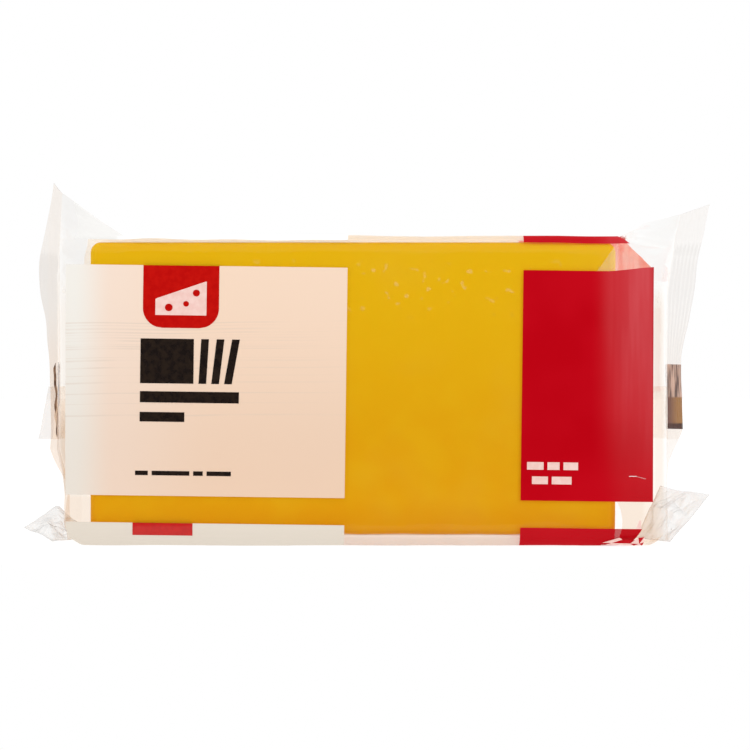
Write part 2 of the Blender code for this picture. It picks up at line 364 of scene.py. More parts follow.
def leave_x(distance, right):
    """How far along X the film stays on the block, at this distance round it."""
    share = past_corner(distance)
    x = LEAVE[right] + (RIDGE[right] - LEAVE[right]) * share
    if right:
        x = x - np.where(distance > 0, RIGHT_SHOULDER * np.sin(math.pi * share ** 0.7), 0.0)
    return x


def fin_height(distance, right, ear_share):
    share = past_corner(distance)
    rise = EAR_TOP[right] - TUBE_HEIGHT
    low = EDGE_RADIUS + (FIN_FOOT - EDGE_RADIUS) * share
    high = TUBE_HEIGHT - EDGE_RADIUS + (EDGE_RADIUS + rise * ear_share) * share
    return np.where(share > 0, np.where(distance < 0, low, high), MIDDLE_HEIGHT + distance)


def fin_taper(height, right):
    """How far down its lower, narrowing stretch this height on a fin is."""
    return np.clip(TAPER_HEIGHT[right] - height, 0.0, TAPER_RUN[right])


def fin_edge_x(height, right):
    """The fin's cut edge: slanted at the right end, wavy at the left one, narrowing low down."""
    taper = FIN_TAPER * fin_taper(height, right)
    if right:
        return FIN_REACH[1] + RIGHT_SLOPE * np.maximum(height - RIGHT_LEVEL, 0.0) - taper
    swing_from_top = np.minimum(LEFT_SWING_TOP - height, LEFT_SWING_LENGTH / 2)
    swing = LEFT_SWING * np.cos(2 * math.pi * swing_from_top / LEFT_SWING_LENGTH)
    return -(FIN_REACH[0] + swing) + taper


def fin_root_x(height, right):
    edge = fin_edge_x(height, right)
    if right:
        return np.maximum(edge - FIN_WIDTH, FIN_ROOT[1])
    return np.minimum(edge + FIN_WIDTH, FIN_ROOT[0] + LEFT_ROOT_TAPER * fin_taper(height, right))


def fin_depth(distance, right, ear_share):
    lean = EAR_LEAN[right] * ear_share
    share = np.where(distance > 0, past_corner(distance), 0.0)
    return FIN_WAVE * np.sin(2 * math.pi * distance / FIN_WAVE_LENGTH) + lean * share * share


def end_slope(distance, right):
    """How steeply the film slopes back where it leaves the block."""
    if right:
        lean = SLOPE_LEAN * np.clip(distance / FLAT_HALF, -1, 1)
        return SLOPE_RIGHT * (1 + lean) * (1 - past_corner(distance))
    return SLOPE_LEFT * (1 - past_corner(distance))


def end_sink(along, distance):
    """How far the film has sunk in from the block's face, near an end of the tube."""
    sink = np.zeros_like(along)
    for right in (False, True):
        past = np.maximum(0, (along if right else -along) - SLOPE_START)
        run = abs(LEAVE[right]) - SLOPE_START
        sink += end_slope(distance, right) * past ** 2 / (2 * run)
    return sink


def tube_place(along, distance, back):
    """Points on the tube where the film still follows the block."""
    reach = np.abs(distance)
    turn = np.clip((reach - FLAT_HALF) / EDGE_RADIUS, 0.0, math.pi / 2)
    run = np.maximum(0, reach - FLAT_HALF - CORNER_ARC)
    depth = NARROW_HALF + EDGE_RADIUS * np.cos(turn) - run
    level = np.where(reach <= FLAT_HALF, reach, FLAT_HALF + EDGE_RADIUS * np.sin(turn))
    depth = depth - end_sink(along, distance)
    height = MIDDLE_HEIGHT + np.sign(distance) * level
    return np.stack([along, np.where(back, depth, -depth), height], axis=-1)


def fin_place(distance, back, right, at_edge):
    """Points on the root of an end fin, or on its cut edge."""
    ear_share = 1.0 if at_edge else EAR_SHARE_AT_ROOT[right]
    level = fin_height(distance, right, ear_share)
    middle = fin_depth(distance, right, ear_share)
    half = FIN_HALF * np.clip((HALF_ROUND - np.abs(distance)) / 0.004, 0, 1)
    x = fin_edge_x(level, right) if at_edge else fin_root_x(level, right)
    if at_edge:
        x = x + CUT_WAVE * value_noise(level / 0.009, level * 0, 17 + right)
    return np.stack([x, np.where(back, middle + half, middle - half), level], axis=-1)


def film_end(distance, right):
    """How far along the flat film its cut end is, at this distance round it."""
    return np.abs(leave_x(distance, right)) + GATHER_RUN + FIN_WIDTH


def film_place(along, around):
    """Points on the smooth film, with how far it is gathered (0 on the block, 1 at the fin)."""
    distance, back = face_distance(around)
    left_x = leave_x(distance, False)
    right_x = leave_x(distance, True)
    points = tube_place(np.clip(along, left_x, right_x), distance, back)
    gathered = np.zeros_like(along)
    for right, start_x in ((False, left_x), (True, right_x)):
        past = (along - start_x) if right else (start_x - along)
        share = np.clip(past / GATHER_RUN, 0, 1)
        angle = share * math.pi / 2
        start = tube_place(start_x, distance, back)
        root = fin_place(distance, back, right, False)
        edge = fin_place(distance, back, right, True)
        outward = np.sin(angle)
        run_out = np.abs(root[..., 0] - start[..., 0])
        run_in = np.maximum(np.abs(root[..., 1] - start[..., 1]), 0.001)
        early = np.clip(end_slope(distance, right) * run_out / run_in, 0.0, 0.5)
        inward = (1 - np.cos(angle)) * (1 - early) + outward * early
        upward = np.where(distance > 0, outward ** EAR_FULLNESS[right], outward)
        mixed = start + (root - start) * np.stack([outward, inward, upward], axis=-1)
        on_fin = np.clip((past - GATHER_RUN) / FIN_WIDTH, 0, 1)[..., None]
        mixed = mixed + (edge - root) * on_fin
        points = np.where((past > 0)[..., None], mixed, points)
        gathered = np.where(past > 0, share, gathered)
    return points, gathered


def fin_share(along, around):
    """A share from 0 at a fin's root to 1 at its cut edge, and whether it is the right fin."""
    distance, _ = face_distance(around)
    past_right = along - leave_x(distance, True) - GATHER_RUN
    past_left = leave_x(distance, False) - along - GATHER_RUN
    return np.maximum(past_right, past_left) / FIN_WIDTH, past_right > past_left


def film_relief(along, around, gathered):
    """How far the film stands out from its undisturbed place: ripples, pleats and crimps."""
    distance, back = face_distance(around)
    reach = np.abs(distance)
    side_seed = np.where(along > 0, 37.0, 0.0)
    ripple = RIPPLE * value_noise(along / 0.021, around / 0.026, 3)
    long_edge = np.exp(-(((reach - FLAT_HALF - CORNER_ARC * 0.6) / 0.0055) ** 2))
    ripple = ripple + EDGE_RIPPLE * long_edge * value_noise(along / 0.0125, distance / 0.012 + 9.0, 5)
    free = np.sin(math.pi * np.clip(gathered, 0, 1)) ** 0.7
    pleats = PLEAT * folded_noise(around / 0.0085 + side_seed, gathered * 1.6 + side_seed, 11)
    pleats = pleats + FINE_PLEAT * folded_noise(around / 0.0036, gathered * 2.3 + side_seed, 13)
    near_corner = smooth_step(reach, 0.022, 0.048)
    relief = ripple * (1 - 0.6 * free) + pleats * free * (0.25 + 0.75 * near_corner)
    crown = TOP_CROWN * smooth_step(distance, FLAT_HALF, FLAT_HALF + CORNER_ARC)
    relief = relief + crown * (1 - smooth_step(gathered, 0.0, 0.3))
    on_fin, _ = fin_share(along, around)
    crimp = CRIMP_DEPTH * np.sin(2 * math.pi * on_fin * FIN_WIDTH / CRIMP_PITCH)
    return np.where(on_fin > 0, crimp * np.where(back, -1.0, 1.0), relief)


def film_points(along, around):
    """Points on the film with its ripples and pleats, and the outward direction there."""
    step = 0.00008
    points, gathered = film_place(along, around)
    ahead = film_place(along + step, around)[0] - film_place(along - step, around)[0]
    above = film_place(along, around + step)[0] - film_place(along, around - step)[0]
    outward = np.cross(ahead, above)
    length = np.linalg.norm(outward, axis=-1, keepdims=True)
    outward = outward / np.maximum(length, 1e-12)
    relief = film_relief(along, around, gathered)
    points = points + outward * relief[..., None]
    points[..., 2] = np.maximum(points[..., 2], 0.00005)
    return points, outward


def add_object(name, data):
    item = bpy.data.objects.new(name, data)
    scene.collection.objects.link(item)
    return item


def grid_faces(index):
    corners = [index[:-1, :-1], index[1:, :-1], index[1:, 1:], index[:-1, 1:]]
    return np.stack(corners, axis=-1).reshape(-1, 4)


def make_mesh(name, points, faces, materials):
    mesh = bpy.data.meshes.new(name)
    mesh.from_pydata(points, [], faces)
    for material in materials:
        mesh.materials.append(material)
    return mesh


def grid_object(name, points, materials, slots=None):
    """A smooth sheet through a grid of points."""
    columns, rows = points.shape[:2]
    faces = grid_faces(np.arange(columns * rows).reshape(columns, rows))
    mesh = make_mesh(name, points.reshape(-1, 3).tolist(), faces.tolist(), materials)
    if slots is not None:
        mesh.polygons.foreach_set("material_index", slots.reshape(-1).astype(np.int32))
    mesh.shade_smooth()
    mesh.update()
    return add_object(name, mesh)


def spaced(stops, steps):
    """Rising values through the stops, each stretch cut into equal steps of at most its own size."""
    values = [stops[0]]
    for low, high, step in zip(stops, stops[1:], steps):
        count = max(1, math.ceil((high - low) / step - 1e-6))
        values += [low + (high - low) * i / count for i in range(1, count + 1)]
    return np.array(values)


def plane(first, second):
    return np.meshgrid(first, second, indexing="ij")


def middles(values):
    return (values[:-1] + values[1:]) / 2


def film_columns():
    """Print distances along the film: fine at the ends, with the print's edges among them."""
    red_ends = sorted({band[2] for band in PANEL_BANDS})
    stops = [-PRINT_END, -FIN_START, -TURN_FADE_END, -TURN_FADE_START, WHITE_LEFT, MIDDLE_LEFT]
    stops += [WHITE_RIGHT, RED_LEFT, MIDDLE_RIGHT] + red_ends + [TURN_FADE_END, FIN_START, PRINT_END]
    steps = [FIN_STEP] + [SLOPE_STEP] * 3 + [SIDE_STEP] + [MIDDLE_STEP] * 3
    steps += [SIDE_STEP] * len(red_ends) + [SLOPE_STEP] * 2 + [FIN_STEP]
    return spaced(stops, steps)


def film_rows():
    """Print distances round the film, with the print's edges among them."""
    edges = sorted({edge for band in PANEL_BANDS for edge in band[:2]})
    return spaced(edges, [ROUND_STEP] * (len(edges) - 1))


def stretched(print_along, around):
    """Print distances as distances along the flat film, stretched to end at its cut ends."""
    distance, _ = face_distance(around)
    past = np.maximum(0, np.abs(print_along) - TURN_FADE_START) / (PRINT_END - TURN_FADE_START)
    end = np.where(print_along > 0, film_end(distance, True), film_end(distance, False))
    reach = np.minimum(np.abs(print_along), TURN_FADE_START) + past * (end - TURN_FADE_START)
    return np.sign(print_along) * reach


def flat_film(print_along, print_around):
    """Flat film distances (along, around) of places given in print distances."""
    keep = 1 - smooth_step(np.abs(print_along), TURN_FADE_START, TURN_FADE_END)
    rise = smooth_step(print_along, CORNER_RISE_START, CORNER_RISE_END)
    rise = rise * np.exp(-(((print_around - PANEL_HIGH) / CORNER_RISE_SPREAD) ** 2))
    around = print_around - PRINT_TURN * print_along + CORNER_RISE * rise
    return stretched(print_along, around) + keep * PRINT_TURN * around, around


class Graph:
    """The nodes of a material or the world. Most calls add a node and return its output."""

    def __init__(self, owner):
        owner.use_nodes = True
        self.tree = owner.node_tree
        self.tree.nodes.clear()

    def node(self, kind):
        return self.tree.nodes.new("ShaderNode" + kind)

    def feed(self, socket, value):
        """Gives a socket a number, a colour or another node's output."""
        if isinstance(value, tuple):
            socket.default_value = (*value, 1.0)
        elif isinstance(value, (int, float)):
            socket.default_value = value
        else:
            self.tree.links.new(value, socket)

    def math(self, operation, *values):
        node = self.node("Math")
        node.operation = operation
        for socket, value in zip(node.inputs, values):
            self.feed(socket, value)
        return node.outputs[0]

    def times(self, total, *others):
        for other in others:
            total = self.math("MULTIPLY", total, other)
        return total

    def larger(self, first, second):
        return self.math("MAXIMUM", first, second)

    def size(self, value):
        return self.math("ABSOLUTE", value)

    def place(self, axis):
        """An object coordinate: 0 for X, 2 for Z."""
        split = self.node("SeparateXYZ")
        self.feed(split.inputs[0], self.node("TexCoord").outputs["Object"])
        return split.outputs[axis]

    def noise(self, scale, detail=2.0, stretch=(1.0, 1.0, 1.0)):
        mapping = self.node("Mapping")
        mapping.inputs["Scale"].default_value = stretch
        noise = self.node("TexNoise")
        noise.inputs["Scale"].default_value = scale
        noise.inputs["Detail"].default_value = detail
        self.feed(mapping.inputs["Vector"], self.node("TexCoord").outputs["Object"])
        self.feed(noise.inputs["Vector"], mapping.outputs["Vector"])
        return noise.outputs["Fac"]

    def ramp(self, value, low, high, to_low=0.0, to_high=1.0):
        """A smooth step of a value between two limits."""
        node = self.node("MapRange")
        node.interpolation_type = "SMOOTHSTEP"
        for name, limit in (("From Min", low), ("From Max", high), ("To Min", to_low), ("To Max", to_high)):
            node.inputs[name].default_value = limit
        self.feed(node.inputs["Value"], value)
        return node.outputs["Result"]

    def fall(self, value, low, high, start=1.0):
        """A smooth step down to 0."""
        return self.ramp(value, low, high, start, 0.0)

    def mix(self, share, first, second):
        """A colour between two."""
        node = self.node("Mix")
        node.data_type = "RGBA"
        for place, value in ((0, share), (6, first), (7, second)):
            self.feed(node.inputs[place], value)
        return node.outputs[2]

    def blend(self, share, first, second):
        """A shader between two."""
        node = self.node("MixShader")
        for socket, value in zip(node.inputs, (share, first, second)):
            self.feed(socket, value)
        return node.outputs[0]

    def shader(self, kind, colour, roughness=None):
        node = self.node("Bsdf" + kind)
        self.feed(node.inputs["Color"], colour)
        if roughness is not None:
            node.inputs["Roughness"].default_value = roughness
        return node.outputs[0]

    def principled(self, colour, settings):
        node = self.node("BsdfPrincipled")
        self.feed(node.inputs["Base Color"], colour)
        for name, value in settings.items():
            node.inputs[name].default_value = value
        return node.outputs[0]

    def show(self, shader):
        self.feed(self.node("OutputMaterial").inputs[0], shader)


def make_material(name):
    material = bpy.data.materials.new(name)
    return material, Graph(material)


def facing(g):
    """0 where a surface faces the eye, towards 1 at a grazing angle."""
    node = g.node("LayerWeight")
    node.inputs["Blend"].default_value = 0.5
    return node.outputs["Facing"]


def reflecting_share(g, straight, grazing):
    """Share of light that a surface reflects: little face on, much more at a grazing angle."""
    power = g.math("POWER", facing(g), 5.0)
    return g.math("MULTIPLY_ADD", power, grazing - straight, straight)


def haze_shader(g, colour, behind=0.5):
    """Milky film, lit from in front and from behind."""
    return g.blend(behind, g.shader("Diffuse", colour), g.shader("Translucent", colour))


def film_material(name, tint_of, haze_of, haze_colour, roughness, straight, grazing):
    """Thin film: see-through with a tint, milky in part, glossy at a grazing angle."""
    material, g = make_material(name)
    through = g.shader("Transparent", tint_of(g))
    gloss = g.shader("Glossy", WHITE, roughness)
    shine = g.blend(reflecting_share(g, straight, grazing), through, gloss)
    g.show(g.blend(haze_of(g), shine, haze_shader(g, haze_colour)))
    return material


def clear_tint_and_cheese_light(g):
    """Colour of clear film: faintly grey, with painted orange light from the cheese and painted shade at its
    low left end.
    """
    x = g.place(0)
    z = g.place(2)
    reach = g.size(x)
    # Painted orange light from the cheese, in the slack film beside its ends and above and below it.
    beside = g.times(g.ramp(reach, 0.0815, 0.0827), g.fall(reach, 0.0965, 0.099),
                     g.fall(z, 0.055, 0.085, 0.8))
    over = g.larger(g.ramp(z, 0.0925, 0.094), g.fall(z, 0.0032, 0.0045))
    cheese_glow = g.larger(beside, g.times(over, g.fall(reach, 0.078, 0.0815, 0.5)))
    tint = g.mix(cheese_glow, (0.978, 0.976, 0.97), (0.97, 0.915, 0.86))
    # Past the cheese on the left the film is greyer, yellower lower down.
    left_grey = g.mix(g.ramp(z, 0.07, 0.09), (0.952, 0.926, 0.896), (0.952, 0.945, 0.936))
    tint = g.mix(g.fall(x, -0.0838, -0.0828), tint, left_grey)
    # Painted shade, tinted orange by the cheese, at the foot of the left end.
    low_end = g.times(g.fall(x, -0.0905, -0.0895), g.fall(z, 0.034, 0.046))
    tint = g.mix(low_end, tint, (0.85, 0.775, 0.705))
    # Deeper painted orange light from the cheese, low at both ends and in a strip just right of the red
    # panel.
    low_left = g.times(g.fall(x, -0.0827, -0.0815), g.fall(z, 0.015, 0.0165, 0.8))
    low_right = g.times(g.ramp(x, 0.0827, 0.0835, 0.0, 0.95), g.fall(z, 0.015, 0.0165),
                        g.fall(x, 0.0945, 0.0965))
    past_red = g.times(g.ramp(x, 0.0945, 0.095), g.fall(z, 0.074, 0.084), g.fall(x, 0.0968, 0.0988),
                       g.ramp(z, 0.013, 0.015))
    deep_cheese_glow = g.larger(g.larger(low_left, low_right), past_red)
    return g.mix(deep_cheese_glow, tint, (0.935, 0.866, 0.8))


def clear_haze_and_gap_light(g):
    """Milkiness of clear film in specks high up and in faint clouds, with painted pale light in the gaps
    above and below the cheese.
    """
    z = g.place(2)
    # Painted light: a pale milky wash over the gaps above and below the cheese, along its length.
    wander = g.noise(55.0)
    above = g.ramp(g.math("MULTIPLY_ADD", wander, 0.0016, z), 0.0961, 0.097, 0.0, 0.85)
    below = g.fall(g.math("MULTIPLY_ADD", wander, 0.0014, z), 0.0038, 0.005, 0.85)
    light_veil = g.times(g.larger(above, below), g.fall(g.size(g.place(0)), 0.079, 0.083))
    speck_band = g.times(g.ramp(z, 0.07, 0.079), g.fall(z, 0.086, 0.091))
    speck = g.times(g.ramp(g.noise(330.0, 1.0), 0.64, 0.74, 0.0, 0.16), speck_band)
    cloud = g.ramp(g.noise(38.0), 0.5, 0.75, 0.001, 0.01)
    return g.larger(light_veil, g.larger(speck, cloud))


def sealed_tint_and_cheese_light(g):
    """Colour of the welded, crimped layers: greyer on the left, with painted orange light from the cheese
    low down and near the pack.
    """
    x = g.place(0)
    # Painted orange light from the cheese, low down and near the pack.
    cheese_glow = g.times(g.ramp(g.place(2), 0.05, 0.08, 1.0, 0.2), g.ramp(g.size(x), 0.0975, 0.099, 1.0, 0.3))
    plain = g.mix(g.ramp(x, -0.02, 0.02), (0.946, 0.928, 0.91), (0.975, 0.966, 0.957))
    return g.mix(cheese_glow, plain, (0.952, 0.892, 0.84))


def sealed_haze(g):
    return g.ramp(g.noise(300.0, 2.0, (4.0, 1.0, 0.3)), 0.4, 0.7, 0.01, 0.025)


def crumpled_tint_and_shade(g):
    """Colour of loose folded film, with painted shade: greyer where it is seen at a grazing angle, as along
    its folds.
    """
    # Painted shade on the sides of the folds that turn away from the eye.
    steep_shade = g.math("POWER", facing(g), 2.0)
    return g.mix(steep_shade, (0.952, 0.948, 0.942), (0.66, 0.65, 0.64))


def even_haze(_):
    return 0.1


def pale_film_material(name, amount, colour=(0.97, 0.96, 0.95), behind=0.5):
    """Pale milky film: painted light caught along a fold or bulge, and also the tan mark and the grey end of
    the back seal.
    """
    material, g = make_material(name)
    g.show(g.blend(amount, g.shader("Transparent", WHITE), haze_shader(g, colour, behind)))
    return material


def ink_material(name, colour_of, inside_of):
    """Printed ink on film: a glossy outside and a matt inside, lit from behind too."""
    material, g = make_material(name)
    matt = g.shader("Diffuse", colour_of(g))
    outside = g.blend(reflecting_share(g, 0.006, 0.05), matt, g.shader("Glossy", WHITE, 0.08))
    inside = haze_shader(g, inside_of(g))
    g.show(g.blend(g.node("NewGeometry").outputs["Backfacing"], outside, inside))
    return material


def grain_lines(g, x, z):
    """Fine level lines like wood grain across the white panel, wandering and fading."""
    level = g.math("ADD", z, g.math("MULTIPLY_ADD", g.noise(16.0, 1.0), 0.003, -0.0015))
    total = None
    for place, height in enumerate(GRAIN_HEIGHTS):
        width = GRAIN_WIDTH * GRAIN_WIDTH_SHARES[place % 3]
        off = g.size(g.math("SUBTRACT", level, height))
        line = g.fall(off, width * 0.3, width, GRAIN_STRENGTHS[place % 3])
        total = line if total is None else g.larger(total, line)
    fade = g.ramp(x, -0.06, 0.0, 1.0, 0.25)
    patchy = g.ramp(g.noise(60.0, 2.0, (1.0, 1.0, 3.0)), 0.3, 0.6, 0.15, 1.0)
    return g.times(total, fade, patchy)


def white_ink_colour_and_light(g):
    """White ink with faint wood-grain lines, cream past the cheese, with painted orange light from the
    cheese and painted shade low down.
    """
    x = g.place(0)
    z = g.place(2)
    # Painted shade: darker lower down.
    height = g.ramp(z, 0.01, 0.09)
    cream = g.mix(height, (0.797, 0.727, 0.645), (0.872, 0.842, 0.785))
    # Painted orange light from the cheese behind the ink, near its end and over it.
    near = g.mix(height, (0.832, 0.645, 0.52), (0.893, 0.723, 0.605))
    cheese_light_peach = g.mix(height, (0.825, 0.6, 0.448), (0.897, 0.683, 0.531))
    base = g.mix(g.ramp(x, -0.088, -0.0745), cream, near)
    base = g.mix(g.ramp(x, -0.08, -0.04), base, cheese_light_peach)
    # Painted shade along the bottom edge.
    base = g.mix(g.fall(z, 0.0085, 0.012), base, (0.745, 0.672, 0.58))
    top = g.ramp(z, 0.094, 0.0955)
    base = g.mix(top, base, (0.95, 0.97, 0.97))
    ear = g.larger(g.times(top, g.fall(x, -0.075, -0.0725)), g.ramp(z, 0.0982, 0.0988))
    base = g.mix(ear, base, (0.785, 0.775, 0.755))
    return g.mix(grain_lines(g, x, z), base, (0.68, 0.55, 0.45))


def white_ink_inside(g):
    return g.mix(g.ramp(g.place(2), 0.01, 0.08), (0.93, 0.85, 0.76), (0.93, 0.91, 0.89))


def red_ink_colour(g):
    """Red ink, veiled with soft light in upright streaks on its right, more so high up."""
    x = g.place(0)
    mottle = g.ramp(g.noise(40.0), 0.3, 0.7)
    base = g.mix(mottle, (0.485, 0.0014, 0.0068), (0.525, 0.003, 0.0098))
    streaks = g.ramp(g.noise(95.0, 2.0, (3.2, 1.0, 0.25)), 0.35, 0.65, 0.62, 1.0)
    light_veil = g.times(g.ramp(x, 0.074, 0.0915), streaks, g.ramp(g.place(2), 0.012, 0.072, 0.02, 0.62))
    base = g.mix(light_veil, base, (0.64, 0.098, 0.112))
    return g.mix(g.ramp(x, 0.0936, 0.0943, 0.0, 0.55), base, (0.4, 0.004, 0.012))


def red_ink_inside(g):
    """The pale backing of the red ink, pink with the red behind it."""
    bands = g.ramp(g.noise(120.0, 2.0, (3.0, 1.0, 0.4)), 0.4, 0.65)
    return g.mix(bands, (0.91, 0.36, 0.31), (0.94, 0.54, 0.49))


def mark_material():
    """The brown patch on an end seal: grey-brown streaks above, violet-brown turning gold below."""
    material, g = make_material("brown_mark")
    z = g.place(2)
    streaks = g.ramp(g.noise(420.0, 2.0, (2.6, 1.0, 0.22)), 0.38, 0.66)
    upper = g.mix(streaks, (0.15, 0.1, 0.088), (0.66, 0.49, 0.41))
    lower = g.mix(g.ramp(g.place(0), 0.1008, 0.1046), (0.15, 0.078, 0.07), (0.36, 0.195, 0.068))
    colour = g.mix(g.ramp(z, 0.0462, 0.047), lower, upper)
    colour = g.mix(g.fall(z, 0.0378, 0.0386), colour, (0.07, 0.03, 0.022))
    g.show(g.principled(colour, {"Roughness": 0.2, "Alpha": 0.96}))
    return material


def flat_ink_material(name, first, second):
    """Small print: a thin even ink with slight mottling."""
    material, g = make_material(name)
    mottle = g.ramp(g.noise(500.0), 0.35, 0.65)
    g.show(g.principled(g.mix(mottle, first, second), {"Roughness": 0.16, "IOR": 1.42}))
    return material


def cheese_material():
    """Orange cheddar: mottled, with light sinking in, and painted light and shade: lighter high up, darker
    at its foot.
    """
    material, g = make_material("cheddar")
    z = g.place(2)
    # Painted light and shade: lighter high up, darker low down.
    base = g.mix(g.ramp(z, 0.004, 0.092), (0.765, 0.35, 0.0022), (0.79, 0.455, 0.003))
    mottle = g.ramp(g.noise(70.0, 3.0), 0.35, 0.7, 0.0, 0.35)
    colour = g.mix(mottle, base, (0.8, 0.455, 0.006))
    # Painted shade at the foot of the block.
    colour = g.mix(g.fall(z, 0.006, 0.016, 0.4), colour, (0.655, 0.215, 0.0018))
    settings = {
        "Roughness": 0.5,
        "Specular IOR Level": 0.05,
        "Subsurface Weight": 0.15,
        "Subsurface Radius": (0.003, 0.0015, 0.0004),
        "Subsurface Scale": 1.0,
    }
    g.show(g.principled(colour, settings))
    return material


def make_film(materials):
    """The whole film: clear, white and red fields, the crimped seals and a brown mark."""
    columns = film_columns()
    rows = film_rows()
    points, _ = film_points(*flat_film(*plane(columns, rows)))
    c, r = plane(middles(columns), middles(rows))
    along, around = flat_film(c, r)
    slots = np.full(c.shape, CLEAR_SLOT)
    for low, high, red_end in PANEL_BANDS:
        banded = (r > low) & (r < high)
        slots[banded & (c > WHITE_LEFT) & (c < WHITE_RIGHT)] = WHITE_SLOT
        slots[banded & (c > RED_LEFT) & (c < red_end)] = RED_SLOT
    on_fin, right = fin_share(along, around)
    slots[on_fin > 0] = SEALED_SLOT
    distance, back = face_distance(around)
    height = MIDDLE_HEIGHT + distance
    marked = (height > MARK_LOW) & (height < MARK_HIGH) & ~back
    slots[marked & right & (on_fin > MARK_FROM_SHARE)] = MARK_SLOT
    x, y, z = np.moveaxis((points[:-1, :-1] + points[1:, 1:]) / 2, -1, 0)
    foot = (x > FOOT_LEFT) & (x < 0) & (y < 0) & (z < FOOT_HIGH)
    slots[foot & (slots == CLEAR_SLOT) & (c < WHITE_LEFT)] = WHITE_SLOT
    return grid_object("film_wrap", points, materials, slots)


def make_back_seal(material, end_material):
    """The lengthwise seal: a crimped strip folded down on the back, its free edge lifted a little."""
    columns = spaced([-PRINT_END, -TURN_FADE_START, TURN_FADE_START, PRINT_END], SEAL_STEPS)
    c, share = plane(columns, np.linspace(0, 1, SEAL_ROWS + 1))
    around = SEAL_ROUND + share * SEAL_WIDTH
    points, outward = film_points(stretched(c, around), around)
    wave = value_noise(c / 0.013, share * 1.5, 23)
    lift = SEAL_GAP + SEAL_LIFT * share ** 2 * (0.55 + 0.45 * wave)
    crimp = CRIMP_DEPTH * np.sin(2 * math.pi * share * SEAL_WIDTH / CRIMP_PITCH / 1.6)
    points = points + outward * (lift + crimp)[..., None]
    tail = SEAL_END_HIGH + (SEAL_END_LOW - SEAL_END_HIGH) * share
    points[..., 0] -= np.clip((-c - SEAL_TAIL_START) / SEAL_TAIL_RUN, 0, 1) * tail
    slots = np.repeat((middles(columns) < SEAL_GREY_END)[:, None].astype(int), SEAL_ROWS, axis=1)
    return grid_object("back_seal", points, [material, end_material], slots)


def make_flap(name, corners, material, seed):
    """A fin's bottom corner folded forward on the table: a crumpled double layer."""
    low, high, outer, tip = (np.array(corner) for corner in corners)
    normal = np.cross(outer - low, high - tip)
    normal = normal / np.linalg.norm(normal)
    steps = np.linspace(0, 1, FLAP_POINTS)
    u, v = plane(steps, steps)
    near = low + (tip - low) * u[..., None]
    far = high + (outer - high) * u[..., None]
    place = near + (far - near) * v[..., None]
    free = np.sin(math.pi * u) * np.sin(math.pi * v)
    edge = np.minimum(np.minimum(u, 1 - u), np.minimum(v, 1 - v))
    layers = []
    for side in (-1, 1):
        shared = creases(u, v, 26, 0.42, seed)
        own = creases(u, v, 18, 0.3, seed + 7 + side)
        fine = folded_noise(u * 7 + side, v * 7, seed + 3)
        relief = FLAP_BULGE * free + FLAP_CREASE * shared * smooth_step(edge, -0.15, 0.3)
        relief = relief + (FLAP_OWN_CREASE * own + FLAP_GRAIN * fine) * smooth_step(edge, 0.0, 0.18)
        relief = relief + side * FLAP_HALF * smooth_step(edge, 0.0, 0.1)
        layers.append(place + normal * relief[..., None])
    index = np.arange(FLAP_POINTS ** 2).reshape(FLAP_POINTS, FLAP_POINTS)
    faces = [grid_faces(index[:, ::-1]), grid_faces(index + FLAP_POINTS ** 2)]
    points = np.concatenate([layer.reshape(-1, 3) for layer in layers])
    points[:, 2] = np.maximum(points[:, 2], 0.0001)
    mesh = make_mesh(name, points.tolist(), np.concatenate(faces).tolist(), [material])
    built = bmesh.new()
    built.from_mesh(mesh)
    bmesh.ops.remove_doubles(built, verts=built.verts, dist=0.00001)
    bmesh.ops.recalc_face_normals(built, faces=built.faces)
    built.to_mesh(mesh)
    built.free()
    mesh.shade_smooth()
    return add_object(name, mesh)


def make_print(name, low, high, left, right, material, lift=PRINT_LIFT, step=0.0007):
    """A printed shape that follows the film, between two levels.

    Each side is a number, or a function of the level.
    """
    levels = spaced([low, high], [step])
    start, end = (np.array([side(v) if callable(side) else side for v in levels]) for side in (left, right))
    count = max(2, math.ceil((end - start).max() / PRINT_CELL) + 1)
    share = np.linspace(0, 1, count)
    print_along = start[None, :] + (end - start)[None, :] * share[:, None]
    print_around = np.broadcast_to(levels[None, :], print_along.shape)
    points, outward = film_points(*flat_film(print_along, print_around))
    return grid_object(name, points + outward * lift, [material])


def leaning(side, lean, origin):
    """An edge that leans: its place at an origin level, and how far it moves for each metre up."""
    return lambda level: side + lean * (level - origin)


def make_bar(name, left, right, low, high, material, lean=0.0):
    return make_print(name, low, high, leaning(left, lean, low), leaning(right, lean, low), material)


def make_disc(name, x, y, radius, material, lift):
    def half(level):
        return math.sqrt(max(0.0, radius ** 2 - (level - y) ** 2))

    return make_print(name, y - radius, y + radius, lambda v: x - half(v), lambda v: x + half(v), material,
                      lift, 0.00015)


def make_tab(name, left, right, low, high, material):
    """A tab that hangs from the panel's top edge, with rounded lower corners."""

    def inset(level):
        short = max(0.0, low + TAB_CORNER - level)
        return TAB_CORNER - math.sqrt(max(0.0, TAB_CORNER ** 2 - short ** 2))

    return make_print(name, low, high, lambda v: left + inset(v), lambda v: right - inset(v), material,
                      step=0.00035)


def make_dashes(name, left, middle, height, lengths, material):
    dashes = []
    low = middle - height / 2
    high = middle + height / 2
    for place, length in enumerate(lengths):
        dashes.append(make_bar(f"{name}_{place}", left, left + length, low, high, material))
        left += length + DASH_GAP
    return dashes


